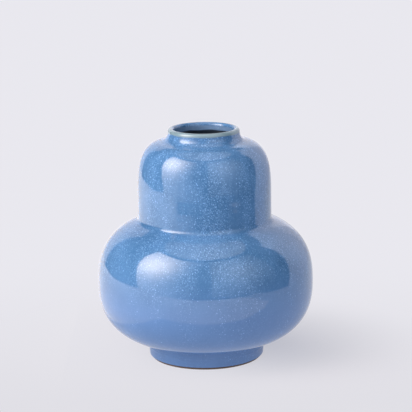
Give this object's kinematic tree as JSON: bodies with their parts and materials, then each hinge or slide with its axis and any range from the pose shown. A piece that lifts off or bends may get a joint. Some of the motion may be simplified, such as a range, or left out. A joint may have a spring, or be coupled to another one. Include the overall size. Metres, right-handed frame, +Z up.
{
  "type": "flower vase",
  "caption": "Round stoneware flower vase: a wide belly on a low foot ring, a narrower dome above the waist and a short collar with a rounded lip, under a speckled blue gloss glaze.",
  "frame": {"origin": "centre of the circle that the foot ring stands on, at floor height", "axes": "+Z up along the turning axis; the vase is round about it, so +X is any direction across the mouth"},
  "size_m": [0.1854, 0.1854, 0.2],
  "materials": {
    "foot_clay": "bare fired stoneware, matt and slightly gritty, seen as a dark band at the floor",
    "lower_belly_clay": "bare fired stoneware, hidden under the glaze",
    "upper_belly_clay": "bare fired stoneware, hidden under the glaze",
    "dome_clay": "bare fired stoneware, hidden under the glaze",
    "collar_clay": "bare fired stoneware, hidden under the glaze",
    "blue_glaze": "high gloss blue with fine pale speckles, breaking to pale celadon on the lip",
    "liner_glaze": "glossy grey blue, plain"
  },
  "bodies": {
    "root": {"foot_ring": "foot_clay", "lower_belly": "lower_belly_clay", "upper_belly": "upper_belly_clay", "dome": "dome_clay", "mouth_collar": "collar_clay", "glaze_coat": "blue_glaze", "liner_glaze": "liner_glaze"}
  },
  "joints": []
}
